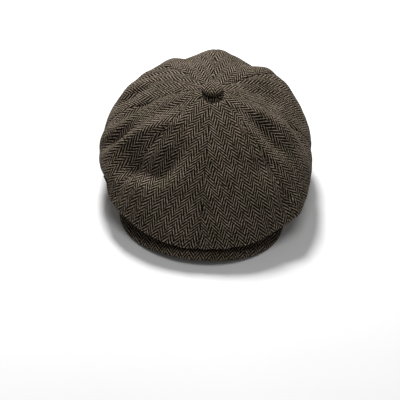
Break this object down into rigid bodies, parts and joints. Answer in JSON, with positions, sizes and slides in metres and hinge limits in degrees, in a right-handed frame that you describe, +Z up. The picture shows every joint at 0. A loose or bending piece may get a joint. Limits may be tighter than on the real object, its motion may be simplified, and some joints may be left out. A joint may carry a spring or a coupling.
{
  "type": "newsboy cap",
  "caption": "Full soft newsboy cap of wedge panels in herringbone tweed, with a covered top button and a short stiff visor in the same cloth.",
  "frame": {"origin": "centre of the head opening, in the plane of the band's lower edge", "axes": "+Z up through the crown, -Z out of the head opening, -Y forward over the visor, +X to the wearer's left"},
  "size_m": [0.2696, 0.2837, 0.1424],
  "materials": {
    "herringbone_tweed": "woven wool, dark brown and grey herringbone",
    "lining_satin": "smooth satin",
    "interfacing": "stiff plain weave",
    "sweatband_twill": "cotton twill",
    "label_cloth": "woven, blank",
    "visor_board": "matt",
    "button_metal": "plain pressed sheet"
  },
  "bodies": {
    "root": {"crown_panel_front_left": "herringbone_tweed", "crown_panel_front_right": "herringbone_tweed", "crown_panel_side_front_left": "herringbone_tweed", "crown_panel_side_front_right": "herringbone_tweed", "crown_panel_side_back_left": "herringbone_tweed", "crown_panel_side_back_right": "herringbone_tweed", "crown_panel_back_left": "herringbone_tweed", "crown_panel_back_right": "herringbone_tweed", "lining_gore_front_left": "lining_satin", "lining_gore_front_right": "lining_satin", "lining_gore_side_front_left": "lining_satin", "lining_gore_side_front_right": "lining_satin", "lining_gore_side_back_left": "lining_satin", "lining_gore_side_back_right": "lining_satin", "lining_gore_back_left": "lining_satin", "lining_gore_back_right": "lining_satin", "outer_band": "herringbone_tweed", "band_interfacing": "interfacing", "sweatband": "sweatband_twill", "woven_label": "label_cloth", "size_tab": "label_cloth", "visor_board": "visor_board", "visor_top_cover": "herringbone_tweed", "visor_under_cover": "herringbone_tweed", "button_cover": "herringbone_tweed", "button_shell": "button_metal", "button_back_plate": "button_metal", "button_rivet": "button_metal", "button_washer": "button_metal"}
  },
  "joints": []
}
